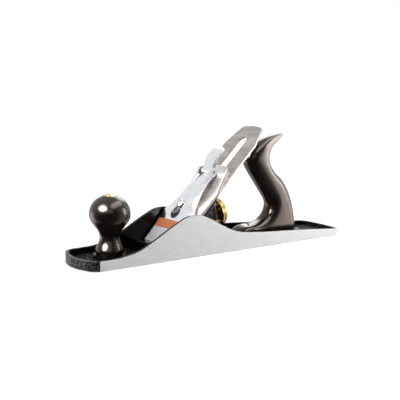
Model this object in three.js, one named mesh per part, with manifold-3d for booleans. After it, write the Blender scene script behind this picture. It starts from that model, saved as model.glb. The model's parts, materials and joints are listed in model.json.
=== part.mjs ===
// Iron bench plane (jack plane), 14 in long with a 2 in iron, in millimetres.
// X runs from toe (-) to heel (+), Y across the sole, Z up from the sole.
import * as THREE from 'three';
import { mergeVertices } from 'three/addons/utils/BufferGeometryUtils.js';
import Module from 'manifold-3d';

const wasm = await Module();
wasm.setup();

// ---- driving dimensions ---------------------------------------------------
const LENGTH = 355.6;
const WIDTH = 63.5;
const SOLE = 3.8;
const CHEEK = 3.3;
const CHEEK_TOE = -163.2;
const CHEEK_HEEL = 170.7;
const GAP = 0.3;

const BED_X = -77;
const BED_ANGLE = THREE.MathUtils.degToRad(45);
const MOUTH_FRONT = -83.6;
const MOUTH_HALF = 27.2;
const FROG_HALF = 22;
const SEAT_TOP = 8.1;
const FROG_BASE = SEAT_TOP + GAP;
const FROG_REAR = -12;
const FROG_TOP_S = 98;
const BED_PLATE = 10;

const IRON_HALF = 25.4;
const IRON_LOW = 0.3;
const IRON_HIGH = 2.5;
const IRON_EDGE_S = -2.15;
const IRON_END_S = 188;
const SLOT_HALF = 6.2;
const CAP_IRON_LOW = 2.8;
const CAP_IRON_HIGH = 4.8;
const CAP_IRON_END_S = 124.6;
const CAP_SCREW_S = 113;
const LEVER_SCREW_S = 58.5;
const KEYHOLE_S = 47.5;
const ROLLER_S = 84;
const LATERAL_S = 93.5;
const CAM_PIN_S = 107.3;
const CAM_PIN_T = 14.8;
const YOKE_S = 80;
const YOKE_T = -11;

const KNOB_X = -134.4;
const PAD_TOP = 8.1;
const WHEEL_X = 6.8;
const WHEEL_Z = 41.2;
const WHEEL_TILT = THREE.MathUtils.degToRad(15);
const WHEEL_RADIUS = 15.9;
const WHEEL_RIM = 6.5;
const STUD_RADIUS = 3;
const TOTE_ROD_X = 102;
const TOTE_ROD_LEAN = THREE.MathUtils.degToRad(25.7);
const TOTE_NUT_TOP = 115.5;
const TOTE_HALF = 12.5;
const FROG_SCREW_X = -47;
const FROG_SCREW_Y = 13.5;
const FROG_TRAVEL = 2;
const ADJUST_Z = 11.6;

// ---- solid helpers --------------------------------------------------------
function solid(geometry) {
  const plain = geometry.clone();
  for (const name of Object.keys(plain.attributes)) {
    if (name !== 'position') plain.deleteAttribute(name);
  }
  const merged = mergeVertices(plain, 1e-4);
  const corners = merged.index.array;
  const triangles = [];
  for (let i = 0; i < corners.length; i += 3) {
    const [a, b, c] = corners.slice(i, i + 3);
    if (a !== b && b !== c && c !== a) triangles.push(a, b, c);
  }
  const vertProperties = new Float32Array(merged.attributes.position.array);
  const triVerts = new Uint32Array(triangles);
  return new wasm.Manifold(new wasm.Mesh({ numProp: 3, vertProperties, triVerts }));
}

function geometryOf(manifold) {
  const mesh = manifold.getMesh();
  const geometry = new THREE.BufferGeometry();
  geometry.setAttribute('position', new THREE.BufferAttribute(mesh.vertProperties, 3));
  geometry.setIndex(new THREE.BufferAttribute(mesh.triVerts, 1));
  const faceted = geometry.toNonIndexed();
  faceted.computeVertexNormals();
  return faceted;
}

const join = (...parts) => parts.reduce((whole, part) => whole.add(part));
const cut = (base, ...tools) => tools.reduce((rest, tool) => rest.subtract(tool), base);

const outline = (points) => points.map(([x, y]) => new THREE.Vector2(x, y));

// A smooth open line through a few points.
function smooth(points, steps) {
  return new THREE.SplineCurve(outline(points)).getPoints(steps).map((p) => [p.x, p.y]);
}

// A prism with its outline in X and Z, between two Y values.
function prismY(points, y0, y1) {
  const shape = new THREE.Shape(outline(points));
  const geometry = new THREE.ExtrudeGeometry(shape, { depth: y1 - y0, bevelEnabled: false });
  return geometry.rotateX(Math.PI / 2).translate(0, y1, 0);
}

// A prism with its outline in X and Y, between two Z values.
function prismZ(points, z0, z1) {
  const shape = new THREE.Shape(outline(points));
  const geometry = new THREE.ExtrudeGeometry(shape, { depth: z1 - z0, bevelEnabled: false });
  return geometry.translate(0, 0, z0);
}

function box(x0, x1, y0, y1, z0, z1) {
  const geometry = new THREE.BoxGeometry(x1 - x0, y1 - y0, z1 - z0);
  return geometry.translate((x0 + x1) / 2, (y0 + y1) / 2, (z0 + z1) / 2);
}

// A cylinder along Z at (x, y).
function post(x, y, radius, z0, z1, sides = 24) {
  const geometry = new THREE.CylinderGeometry(radius, radius, z1 - z0, sides);
  return geometry.rotateX(Math.PI / 2).translate(x, y, (z0 + z1) / 2);
}

// A cylinder along X at (y, z).
function barX(y, z, radius, x0, x1, sides = 20) {
  const geometry = new THREE.CylinderGeometry(radius, radius, x1 - x0, sides);
  return geometry.rotateZ(Math.PI / 2).translate((x0 + x1) / 2, y, z);
}

// A cylinder along Y at (x, z).
function barY(x, z, radius, y0, y1, sides = 20) {
  const geometry = new THREE.CylinderGeometry(radius, radius, y1 - y0, sides);
  return geometry.translate(x, (y0 + y1) / 2, z);
}

// A solid of revolution about Z from [radius, height] pairs.
function turned(profile, sides = 32) {
  return new THREE.LatheGeometry(outline(profile), sides).rotateX(Math.PI / 2);
}

// A slot with round ends, from (x0, y) to (x1, y).
function slotOutline(x0, x1, half, steps = 8) {
  const points = [];
  for (let i = 0; i <= steps; i += 1) {
    const angle = -Math.PI / 2 + (Math.PI * i) / steps;
    points.push([x1 + half * Math.cos(angle), half * Math.sin(angle)]);
  }
  for (let i = 0; i <= steps; i += 1) {
    const angle = Math.PI / 2 + (Math.PI * i) / steps;
    points.push([x0 + half * Math.cos(angle), half * Math.sin(angle)]);
  }
  return points;
}

// Half an outline in X and positive Y, mirrored into a closed one.
function mirrored(half) {
  const other = half.map(([x, y]) => [x, -y]).reverse();
  return [...half, ...other].filter(([x, y], i, all) => {
    const [px, py] = all[(i + all.length - 1) % all.length];
    return Math.hypot(x - px, y - py) > 1e-6;
  });
}

// ---- frames ---------------------------------------------------------------
// The bed frame: X up the bed, Z out of it.
const bedMatrix = new THREE.Matrix4()
  .makeTranslation(BED_X, 0, 0)
  .multiply(new THREE.Matrix4().makeRotationY(-BED_ANGLE));
// The stud frame: Z along the depth wheel's axis, zero at the wheel's rear face.
const studMatrix = new THREE.Matrix4()
  .makeTranslation(WHEEL_X, 0, WHEEL_Z)
  .multiply(new THREE.Matrix4().makeRotationY(Math.PI / 2 - WHEEL_TILT));
// The tote rod frame: Z up the rod, zero at the tote's foot.
const rodMatrix = new THREE.Matrix4()
  .makeTranslation(TOTE_ROD_X, 0, PAD_TOP + GAP)
  .multiply(new THREE.Matrix4().makeRotationY(-TOTE_ROD_LEAN));
const inBed = (geometry) => solid(geometry.applyMatrix4(bedMatrix));
const onStud = (geometry) => solid(geometry.applyMatrix4(studMatrix));
const onRod = (geometry) => solid(geometry.applyMatrix4(rodMatrix));

function frameGroup(matrix) {
  const group = new THREE.Group();
  matrix.decompose(group.position, group.quaternion, group.scale);
  return group;
}

const plane = new THREE.Group();
const bed = frameGroup(bedMatrix);
const studFrame = frameGroup(studMatrix);
const rodFrame = frameGroup(rodMatrix);
plane.add(bed, studFrame, rodFrame);

// ---- materials ------------------------------------------------------------
const finish = {
  enamel: [0x151414, 0.35, 0.1],
  steel: [0xb9bbbd, 0.35, 0.9],
  ironSteel: [0xbdb6b0, 0.4, 0.9],
  bright: [0xdfe2e8, 0.15, 1],
  brass: [0xc4963c, 0.25, 1],
  plastic: [0x1d1614, 0.2, 0],
};

function addPiece(parent, name, look, manifold) {
  const [color, roughness, metalness] = finish[look];
  const material = new THREE.MeshStandardMaterial({ color, roughness, metalness });
  const mesh = new THREE.Mesh(geometryOf(manifold), material);
  mesh.name = name;
  parent.add(mesh);
}

// ---- body casting ---------------------------------------------------------
const TOE_ARC = [[-163.2, 30.9], [-168.4, 28.4], [-172.6, 22.2], [-176.2, 11.5], [-177.8, 0]];
const HEEL_ARC = [[170.7, 30.9], [174.2, 28.6], [175.9, 22.5], [177.2, 11], [177.8, 0]];
// The ends' outlines; an inset draws the toe in about X -150 and the heel about X 155.
const toeCurve = (inset) => smooth(TOE_ARC, 12)
  .map(([x, y]) => [-150 + (x + 150) * (1 - inset / 27), y * (1 - inset / 31)]);
const heelCurve = (inset) => smooth(HEEL_ARC, 10)
  .map(([x, y]) => [155 + (x - 155) * (1 - inset / 22), y * (1 - inset / 31)]);

const cheekTop = smooth([
  [-141, 10.6], [-129, 12.2], [-116, 15.8], [-100, 23.7], [-84, 32.6], [-70, 39.7], [-60, 43.8], [-50, 45],
  [-40, 43.5], [-27, 38.1], [-12, 30.2], [2, 24], [16, 20.1], [34, 18.1], [74, 15.5], [124, 12.1],
], 34);

function planOutline(inset) {
  const side = WIDTH / 2 - inset;
  const toe = toeCurve(inset).reverse();
  const heel = heelCurve(inset);
  return mirrored([...toe, [CHEEK_TOE, side], [CHEEK_HEEL, side], ...heel]);
}

function castBody() {
  const end = LENGTH / 2;
  const rim = cheekTop.slice().reverse();
  const side = [[-end, 0], [end, 0], [end, 8.3], [171, 8.3], ...rim, [CHEEK_TOE, 10.2], [-end, 9.8]];
  const shell = solid(prismZ(planOutline(0), 0, 60)).intersect(solid(prismY(side, -WIDTH, WIDTH)));
  return cut(shell, solid(prismZ(planOutline(CHEEK), SOLE, 70)));
}

const seatFront = (z) => BED_X + z + 0.7;

function bodyFeatures() {
  const inner = WIDTH / 2 - CHEEK + 0.5;
  const knobBoss = solid(post(KNOB_X, 0, 16.5, SOLE - 1, PAD_TOP, 36));
  const rib = solid(box(-96, -92, -inner, inner, SOLE - 1, 15.5));
  const seatSide = [[seatFront(2), 2], [-13, 2], [-13, SEAT_TOP], [seatFront(SEAT_TOP), SEAT_TOP]];
  const seat = solid(prismY(seatSide, -FROG_HALF - 1, FROG_HALF + 1));
  const mouthLip = solid(box(-88.5, MOUTH_FRONT, -inner, inner, SOLE - 1, 5.6));
  const screwBoss = solid(box(-31, -20, -5, 5, SOLE, 15.4));
  const totePad = solid(prismZ(slotOutline(42, 118, 14.2, 10), SOLE - 1, PAD_TOP));
  return join(knobBoss, rib, seat, mouthLip, screwBoss, totePad);
}

function bodyHoles() {
  const mouthSide = [[MOUTH_FRONT, -1], [seatFront(-1), -1], [seatFront(9), 9], [MOUTH_FRONT, 9]];
  const mouth = solid(prismY(mouthSide, -MOUTH_HALF, MOUTH_HALF));
  const knobHole = solid(post(KNOB_X, 0, 3.2, 3.9, 20, 16));
  const frogHoles = [-1, 1].map((side) => (
    solid(post(FROG_SCREW_X, side * FROG_SCREW_Y, 3.4, 3.9, 20, 16))));
  const adjustHole = solid(barX(0, ADJUST_Z, 2.9, -40, -10, 16));
  const toteHole = onRod(post(0, 0, 3.2, -4.4, 10, 16));
  const toeHole = solid(post(46, 0, 3.2, 3.9, 20, 16));
  return join(mouth, knobHole, ...frogHoles, adjustHole, toteHole, toeHole);
}

addPiece(plane, 'plane_body', 'enamel', castBody().add(bodyFeatures()).subtract(bodyHoles()));

// ---- front knob -----------------------------------------------------------
function knobSolid() {
  const skin = smooth([
    [14.5, 2.2], [14.1, 5], [12.8, 8.4], [11.1, 12.4], [10.2, 17.5], [12, 23.5], [16.4, 29.5], [20, 35.5],
    [20.9, 41.5], [19.4, 48.5], [15.2, 54.6], [9, 58.6], [6.4, 59.4],
  ], 20);
  const profile = [[3.3, 0], [14.2, 0], ...skin, [6.4, 56.2], [5, 56.2], [5, 46], [3.3, 46], [3.3, 0]];
  return solid(turned(profile, 28).translate(KNOB_X, 0, PAD_TOP + GAP));
}

// A slotted barrel nut about Z; its head ends at height 0.
function barrelNut(headRadius) {
  const profile = [[0, -6.4], [3.1, -6.4], [3.1, -13], [4.6, -13], [4.6, -3.4], [headRadius, -3.4],
    [headRadius, -1.2], [headRadius * 0.7, -0.2], [0, 0]];
  return cut(solid(turned(profile, 28)), solid(box(-9, 9, -0.6, 0.6, -1.3, 1)));
}

addPiece(plane, 'knob', 'plastic', knobSolid());
addPiece(plane, 'knob_stud', 'steel', solid(post(KNOB_X, 0, 2.8, 4.2, 61.5, 16)));
addPiece(plane, 'knob_nut', 'brass', barrelNut(5.9).translate([KNOB_X, 0, 69.3]));

// ---- tote -----------------------------------------------------------------
const HORN_TIP = [98.8, 125];
const HORN_REACH = 70;
const HORN_TAPER = 46;
const HORN_THIN = 0.34;
const TOE_TIP = [31, 12];
const TOE_REACH = 60;
const toteRear = smooth([
  [124, 8.4], [123.2, 17], [119, 34.5], [111.3, 54], [99, 70.4], [86, 81], [77.5, 91],
  [75.8, 100], [80, 109], [88.5, 115.2], [95.5, 120.2], [98.8, 124.2],
], 18);
const toteTop = smooth([
  [97, 126], [88, 125], [78, 123.3], [67.5, 120], [56.5, 114.4], [47.5, 107.2], [43.3, 99],
  [44.3, 91], [51, 80.4], [60.5, 68.5], [72.3, 54], [78.8, 45], [79.6, 38.5], [77, 32],
  [70.5, 25.6], [61, 22], [50, 20.6], [41.5, 19.6], [35, 16.2], [31.4, 10],
], 28);

// A slab with its outline in X and Z and rounded rims. Each ring of points is the outline moved
// inwards, less so near the horn's thin tip and in the low toe. The horn also gets narrower.
function roundedSlab(points, half, round, inset, steps) {
  const count = points.length;
  const normals = points.map((_, i) => {
    const [ax, az] = points[(i + count - 1) % count];
    const [bx, bz] = points[(i + 1) % count];
    const length = Math.hypot(bx - ax, bz - az);
    const [x, z] = points[i];
    const horn = Math.hypot(x - HORN_TIP[0], z - HORN_TIP[1]);
    const toe = Math.hypot(x - TOE_TIP[0], z - TOE_TIP[1]) / TOE_REACH;
    const reach = Math.min(1, Math.max(0.05, horn / HORN_REACH), Math.max(0.35, toe)) / length;
    return [-(bz - az) * reach, (bx - ax) * reach];
  });
  const width = points.map(([x, z]) => {
    const horn = Math.hypot(x - HORN_TIP[0], z - HORN_TIP[1]);
    return HORN_THIN + (1 - HORN_THIN) * THREE.MathUtils.smoothstep(horn, 0, HORN_TAPER);
  });
  const rims = [];
  for (let i = 0; i <= steps; i += 1) {
    const angle = (Math.PI * i) / (2 * steps);
    rims.push([half - round * (1 - Math.cos(angle)), inset * (1 - Math.sin(angle))]);
  }
  const rings = [...rims.map(([y, move]) => [-y, move]), ...rims.reverse()];
  const position = rings.flatMap(([y, move]) => points.flatMap(([x, z], i) => (
    [x + normals[i][0] * move, y * width[i], z + normals[i][1] * move])));
  const triangles = [];
  for (let ring = 0; ring + 1 < rings.length; ring += 1) {
    for (let i = 0; i < count; i += 1) {
      const a = ring * count + i;
      const b = ring * count + ((i + 1) % count);
      triangles.push(a, a + count, b, b, a + count, b + count);
    }
  }
  const last = (rings.length - 1) * count;
  for (const [a, b, c] of THREE.ShapeUtils.triangulateShape(outline(points), [])) {
    triangles.push(a, b, c, last + a, last + c, last + b);
  }
  const vertProperties = new Float32Array(position);
  const triVerts = new Uint32Array(triangles);
  return new wasm.Manifold(new wasm.Mesh({ numProp: 3, vertProperties, triVerts }));
}

function toteSolid() {
  const base = PAD_TOP + GAP;
  const outer = [[124.1, base - 20], ...toteRear, ...toteTop, [30.6, 1], [30.4, base - 20]];
  const grip = roundedSlab(outer, TOTE_HALF, 11.5, 14, 4).trimByPlane([0, 0, 1], base);
  const body = grip.intersect(solid(prismZ(slotOutline(43, 140, TOTE_HALF + 0.1), 0, 140)));
  const rodHole = onRod(post(0, 0, 3.3, -10, TOTE_NUT_TOP - 15, 16));
  const nutHole = onRod(post(0, 0, 5, TOTE_NUT_TOP - 17, 140, 20));
  const headHole = onRod(post(0, 0, 6.5, TOTE_NUT_TOP - 3.8, 140, 24));
  const toeHole = solid(post(46, 0, 3.3, 0, 40, 16));
  const toeHead = solid(post(46, 0, 5.6, 17.2, 40, 24));
  return cut(body, rodHole, nutHole, headHole, toeHole, toeHead);
}

function slottedScrew(headRadius, headHeight, shank, length) {
  const profile = [
    [0, -length], [shank, -length], [shank, 0], [headRadius, 0], [headRadius, headHeight * 0.6],
    [headRadius * 0.75, headHeight], [0, headHeight],
  ];
  const slot = box(-12, 12, -0.6, 0.6, headHeight * 0.5, headHeight + 2);
  return cut(solid(turned(profile, 24)), solid(slot));
}

addPiece(plane, 'tote', 'plastic', toteSolid());
addPiece(rodFrame, 'tote_stud', 'steel', solid(post(0, 0, 2.8, -3.9, TOTE_NUT_TOP - 10, 16)));
addPiece(rodFrame, 'tote_nut', 'brass', barrelNut(5.9).translate([0, 0, TOTE_NUT_TOP]));
addPiece(plane, 'tote_toe_screw', 'steel', slottedScrew(5.1, 3, 2.8, 13.2).translate([46, 0, 17.5]));

// ---- frog -----------------------------------------------------------------
const onBed = (s, t) => {
  const point = new THREE.Vector3(s, 0, t).applyMatrix4(bedMatrix);
  return [point.x, point.z];
};

function frogSolid() {
  const side = [[BED_X + FROG_BASE, FROG_BASE], [FROG_REAR, FROG_BASE], [FROG_REAR, 16], [-16, 26],
    onBed(69, -16), onBed(73, -7.5), onBed(82, -4), onBed(90, -2.5), onBed(90, 0)];
  const block = solid(prismY(side, -FROG_HALF, FROG_HALF));
  const hollowSide = [[-48.9, 14], onBed(FROG_TOP_S - 3, -BED_PLATE), [20, 62], [20, 14]];
  const hollow = solid(prismY(hollowSide, -16, 16));
  const spine = inBed(box(50, FROG_TOP_S, -12, 12, -BED_PLATE + 0.5, 0));
  const rearWall = solid(box(-18, FROG_REAR, -10, 10, FROG_BASE, 25));
  const boss = onStud(post(0, 0, 5.6, -46, -20.5, 20));
  const lugs = [-6.2, 6.2].map((y) => inBed(box(76, 84, y - 2.4, y + 2.4, -13.8, -9)));
  return join(cut(block, hollow), spine, rearWall, boss, ...lugs);
}

function frogHoles() {
  const slotAt = (y, half, z0, z1) => {
    const plan = slotOutline(FROG_SCREW_X, FROG_SCREW_X + FROG_TRAVEL, half);
    return solid(prismZ(plan, z0, z1).translate(0, y, 0));
  };
  const wells = [-FROG_SCREW_Y, FROG_SCREW_Y].flatMap((y) => (
    [slotAt(y, 6.4, 14.2, 70), slotAt(y, 3.5, 0, 20)]));
  const tunnel = solid(box(-36, 0, -6.2, 6.2, 0, 16.2));
  const leverScrew = inBed(post(LEVER_SCREW_S, 0, 3.9, -9.8, 5, 20));
  const recess = inBed(box(64, 110, -9.5, 9.5, -6.2, 5));
  const slot = inBed(box(69.2, 86, -3.4, 3.4, -30, 5));
  const rivet = inBed(post(LATERAL_S, 0, 2.7, -8.9, 0, 16));
  const yokePin = inBed(barY(YOKE_S, YOKE_T, 1.85, -12, 12, 12));
  const stud = onStud(post(0, 0, 3.4, -34, 0, 16));
  const clipScrew = solid(barX(0, 20, 1.9, -16.5, 0, 12));
  return join(...wells, tunnel, leverScrew, recess, slot, rivet, yokePin, stud, clipScrew);
}

addPiece(plane, 'frog', 'enamel', frogSolid().subtract(frogHoles()));
for (const [name, side] of [['left', -1], ['right', 1]]) {
  const y = side * FROG_SCREW_Y;
  const disc = solid(post(FROG_SCREW_X, y, 5.8, 14.5, 15.7, 24));
  const washer = cut(disc, solid(post(FROG_SCREW_X, y, 3.35, 14, 16, 16)));
  const screw = slottedScrew(4.9, 3.2, 3, 11.7).translate([FROG_SCREW_X, y, 16]);
  addPiece(plane, `frog_washer_${name}`, 'steel', washer);
  addPiece(plane, `frog_screw_${name}`, 'steel', screw);
}

function adjustingScrew() {
  const profile = [
    [0, -33], [2.5, -33], [2.5, -13], [1.7, -13], [1.7, -9.6], [4.3, -9.6], [4.3, -6.6], [0, -6.6],
  ];
  const screw = turned(profile, 20).rotateY(Math.PI / 2).translate(0, 0, ADJUST_Z);
  return cut(solid(screw), solid(box(-7.6, -5, -5, 5, ADJUST_Z - 0.6, ADJUST_Z + 0.6)));
}

const clipFront = FROG_REAR + GAP;
const clip = cut(solid(box(clipFront, clipFront + 1.5, -7.5, 7.5, 9.2, 24)),
  solid(box(-14, -8, -2.1, 2.1, 0, ADJUST_Z)), solid(barX(0, ADJUST_Z, 2.1, -14, -8, 16)),
  solid(barX(0, 20, 1.9, -14, -8, 12)));
const clipScrew = slottedScrew(3, 1.8, 1.5, 5.6);
addPiece(plane, 'frog_adjusting_screw', 'steel', adjustingScrew());
addPiece(plane, 'frog_clip', 'steel', clip);
addPiece(plane, 'frog_clip_screw', 'steel',
  clipScrew.rotate([0, 90, 0]).translate([clipFront + 1.8, 0, 20]));

// ---- depth adjustment -----------------------------------------------------
function wheelSolid() {
  const r = WHEEL_RADIUS;
  const profile = [
    [3.35, -14.6], [6.1, -14.6], [6.1, -12.6], [4.3, -12.6], [4.3, -7.4], [6.1, -7.4], [6.1, -3.2],
    [12.4, -3.2], [13, -WHEEL_RIM], [r - 0.6, -WHEEL_RIM], [r, -WHEEL_RIM + 0.6], [r, -0.6],
    [r - 0.6, 0], [12.6, 0], [11.6, -0.9], [5, -0.9], [4.4, 0], [3.35, 0], [3.35, -14.6],
  ];
  return solid(turned(profile, 32));
}

function yLever() {
  const hub = inBed(barY(YOKE_S, YOKE_T, 4.4, -2.8, 2.8, 20));
  const finger = inBed(prismY([
    [76, -11], [82, -10], [80.5, -8], [76.4, -6.4], [75, -3], [74.8, 4.4], [71.2, 4.4], [71.2, -2],
  ], -2.5, 2.5));
  const yoke = onStud(box(-11.5, -6.6, -8, 8, -10.85, -8.65));
  const arm = onStud(prismY([
    [-7, -8.65], [-11.5, -8.65], [-16, -15.5], [-15, -18], [-9.5, -15.5], [-7, -10.85],
  ], -2.8, 2.8));
  const tines = [-6.4, 6.4].map((y) => onStud(box(-8, 6, y - 1.6, y + 1.6, -10.85, -8.65)));
  return cut(join(hub, finger, yoke, arm, ...tines), inBed(barY(YOKE_S, YOKE_T, 1.85, -5, 5, 12)));
}

addPiece(studFrame, 'depth_stud', 'steel', solid(post(0, 0, STUD_RADIUS, -31.5, -1.4, 16)));
addPiece(studFrame, 'depth_wheel', 'brass', wheelSolid());
addPiece(plane, 'y_lever', 'steel', yLever());
addPiece(bed, 'y_lever_pin', 'steel', solid(barY(YOKE_S, YOKE_T, 1.5, -8.2, 8.2, 12)));

// ---- lateral adjustment ---------------------------------------------------
function lateralLever() {
  const side = [
    [76, -5.2], [99, -5.2], [105, -9.4], [127, -10.4], [131, -13.5], [132.3, -12.8], [128.2, -9],
    [105.6, -8], [99.6, -3.7], [76, -3.7],
  ];
  const plan = mirrored([
    [78.6, 0], [79.6, 3.6], [84, 5.2], [93.5, 5.8], [100, 4.4], [122, 4.4], [126, 7.5],
    [134, 7.5], [134, 0],
  ]);
  const arm = solid(prismY(side, -9, 9)).intersect(solid(prismZ(plan, -20, 5)));
  const pivotHole = solid(post(LATERAL_S, 0, 2.7, -8, 0, 16));
  return cut(arm, pivotHole, solid(post(ROLLER_S, 0, 2.05, -8, 0, 12)));
}

const pivotRivet = [[0, -8.5], [2.35, -8.5], [2.35, -3.4], [3.4, -3.4], [3, -2.3], [0, -1.9]];
const rollerRivet = [[0, -6], [2.6, -6], [2.6, -5.5], [1.7, -5.5], [1.7, 2.1], [0, 2.1]];
const roller = [[2.05, -3.4], [4.8, -3.4], [4.8, 2.2], [2.05, 2.2], [2.05, -3.4]];
addPiece(bed, 'lateral_lever', 'steel', lateralLever());
const turnedAt = (profile, sides, s) => solid(turned(profile, sides).translate(s, 0, 0));
addPiece(bed, 'lateral_lever_rivet', 'steel', turnedAt(pivotRivet, 20, LATERAL_S));
addPiece(bed, 'lateral_roller', 'steel', turnedAt(roller, 24, ROLLER_S));
addPiece(bed, 'lateral_roller_rivet', 'steel', turnedAt(rollerRivet, 16, ROLLER_S));

// ---- iron and cap iron ----------------------------------------------------
function planeIron() {
  const plan = mirrored([
    [-3, IRON_HALF], [160, IRON_HALF], [182, 17.5], [186, 15], [187.4, 9], [IRON_END_S, 0],
  ]);
  const bevelEnd = IRON_EDGE_S + 4.7;
  const side = [[bevelEnd, IRON_LOW], [200, IRON_LOW], [200, IRON_HIGH], [IRON_EDGE_S, IRON_HIGH]];
  const blank = solid(prismZ(plan, IRON_LOW - 1, IRON_HIGH + 1)).intersect(solid(prismY(side, -30, 30)));
  const slot = solid(prismZ(slotOutline(50, 170 - SLOT_HALF, SLOT_HALF), -3, 6));
  return cut(blank, slot, solid(post(50, 0, 9.5, -3, 6, 28)));
}

function capIron() {
  const top = smooth([
    [-1.2, 3], [1, 4.2], [4, 5.3], [8, 5.9], [12, 5.8], [16, 5.2], [20, 4.87], [24, 4.8],
  ], 16);
  const under = smooth([[22, 2.8], [18, 3], [13, 3.7], [8, 3.9], [4, 3.6], [1.2, 3.05], [-0.6, 2.8]], 14);
  const side = [...top, [CAP_IRON_END_S, CAP_IRON_HIGH], [CAP_IRON_END_S, CAP_IRON_LOW], ...under];
  const half = IRON_HALF - 0.2;
  const plan = mirrored([[-3, half], [88, half], [120.5, 14.5], [123.6, 12], [CAP_IRON_END_S, 8.5],
    [CAP_IRON_END_S, 0]]);
  const plate = solid(prismY(side, -half, half)).intersect(solid(prismZ(plan, 0, 9)));
  const leverHole = solid(prismZ(slotOutline(56, 62, 4.9), 0, 9));
  const fingerHole = solid(box(70.2, 76.3, -3.7, 3.7, 0, 9));
  return cut(plate, leverHole, fingerHole, solid(post(CAP_SCREW_S, 0, 3.3, 0, 9, 20)));
}

const capScrewProfile = [[0, -2.8], [5.5, -2.8], [8, -1.6], [8, 0], [2.9, 0], [2.9, 4.6], [0, 4.6]];
const capScrew = cut(solid(turned(capScrewProfile, 28)), solid(box(-10, 10, -0.7, 0.7, -4, -1.6)));
addPiece(bed, 'plane_iron', 'ironSteel', planeIron());
addPiece(bed, 'cap_iron', 'ironSteel', capIron());
addPiece(bed, 'cap_iron_screw', 'steel', capScrew.translate([CAP_SCREW_S, 0, 0]));

// ---- lever cap ------------------------------------------------------------
const leverTop = smooth([
  [9, 8], [14, 8.4], [20, 9], [28, 10.1], [40, 12.6], [52, 14.8], [64, 16.1], [78, 16.2],
  [92, 15.6], [102, 15.2],
], 24);
const leverUnder = smooth([[102, 12], [93, 12.2], [82, 11.2], [71, 8.7], [63, 7.2], [52, 6.4], [40, 6],
  [24, 5.6]], 18);
const leverHalf = smooth([
  [46, 25.2], [50, 24.5], [54, 22.5], [58, 18.8], [62, 16.2], [67, 14.7], [76, 13.8], [90, 12.9],
  [101.5, 12],
], 20);
const EAR_INNER = 8.2;
const EAR_OUTER = 11.8;

function leverCap() {
  const side = [...leverTop, [CAM_PIN_S, 15.2], [CAM_PIN_S, 12], ...leverUnder, [16, 6.3], [9, 6.3]];
  const planHalf = [[9, 0], [9, 25.2], ...leverHalf, [CAM_PIN_S, EAR_OUTER], [CAM_PIN_S, 0]];
  const insideHalf = [
    [21, 0], [21, 21.6], [44, 21.6], [50, 20.5], [56, 16.6], [62, 13], [68, 11.2], [98, 10.4], [98, 0],
  ];
  const roof = leverTop.map(([s, t]) => [s, t - 3.4]);
  const inside = solid(prismY([...roof, [101.9, 0], [9, 0]], -30, 30)).intersect(
    solid(prismZ(mirrored(insideHalf), -5, 30)));
  const plate = solid(prismY(side, -30, 30)).intersect(solid(prismZ(mirrored(planHalf), 0, 30)));
  const ramp = [[90, 14], [90, 15.6], [98, 16.6], [103.5, 18.6], [106.5, 19.5], [CAM_PIN_S, 19.5],
    [CAM_PIN_S, 14]];
  const ears = [[-EAR_OUTER, -EAR_INNER], [EAR_INNER, EAR_OUTER]].flatMap(([y0, y1]) => (
    [solid(barY(CAM_PIN_S, CAM_PIN_T, 4.8, y0, y1, 24)), solid(prismY(ramp, y0, y1))]));
  const keySlot = solid(prismZ(slotOutline(KEYHOLE_S, LEVER_SCREW_S, 4.6), 0, 30));
  const keyhole = solid(post(KEYHOLE_S, 0, 6.9, 0, 30, 28)).add(keySlot);
  const pocket = solid(box(101.4, 120, -EAR_INNER, EAR_INNER, 0, 30));
  const springRivet = solid(post(84, 0, 1.9, 9, 14.6, 12));
  const pin = solid(barY(CAM_PIN_S, CAM_PIN_T, 1.85, -20, 20, 12));
  return cut(join(cut(plate, inside), ...ears), keyhole, pocket, springRivet, pin);
}

function camLever() {
  const lobe = [];
  const steps = 10;
  const reach = 3.7;
  for (let i = 0; i <= steps; i += 1) {
    const angle = Math.PI * (0.62 + (0.78 * i) / steps);
    lobe.push([CAM_PIN_S + reach * Math.cos(angle), CAM_PIN_T + reach * Math.sin(angle)]);
  }
  const foot = [[104.9, 8.6], [106.3, 7.2], [109.6, 7.2], [111.8, 9.6]];
  const under = smooth([
    [112.6, 12.6], [116, 15.6], [121, 18.6], [126, 19.4], [131, 19.2], [134.5, 19.6], [136.6, 20.8],
  ], 12);
  const top = smooth([
    [135.6, 22.7], [134, 21.2], [131, 21.3], [126, 21.9], [120.7, 21.6], [115.5, 19.2],
    [112, 17.4], [109.5, 17.6],
  ], 14);
  const side = [...lobe, ...foot, ...under, ...top];
  const plan = mirrored([
    [100, 0], [100, 7.3], [112, 7.3], [116, 8.8], [134, 8.9], [136.3, 8], [137, 6], [137, 0],
  ]);
  const arm = solid(prismY(side, -9, 9)).intersect(solid(prismZ(plan, 0, 30)));
  return cut(arm, solid(barY(CAM_PIN_S, CAM_PIN_T, 1.85, -20, 20, 12)));
}

function capSpring() {
  const upper = smooth([[79, 12], [90, 11.2], [97, 8.6], [104, 6.7], [112, 6.4]], 12);
  const lower = upper.map(([s, t]) => [s, t - 0.8]).reverse();
  return cut(solid(prismY([...upper, ...lower], -6, 6)), solid(post(84, 0, 1.9, 5, 20, 12)));
}

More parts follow.
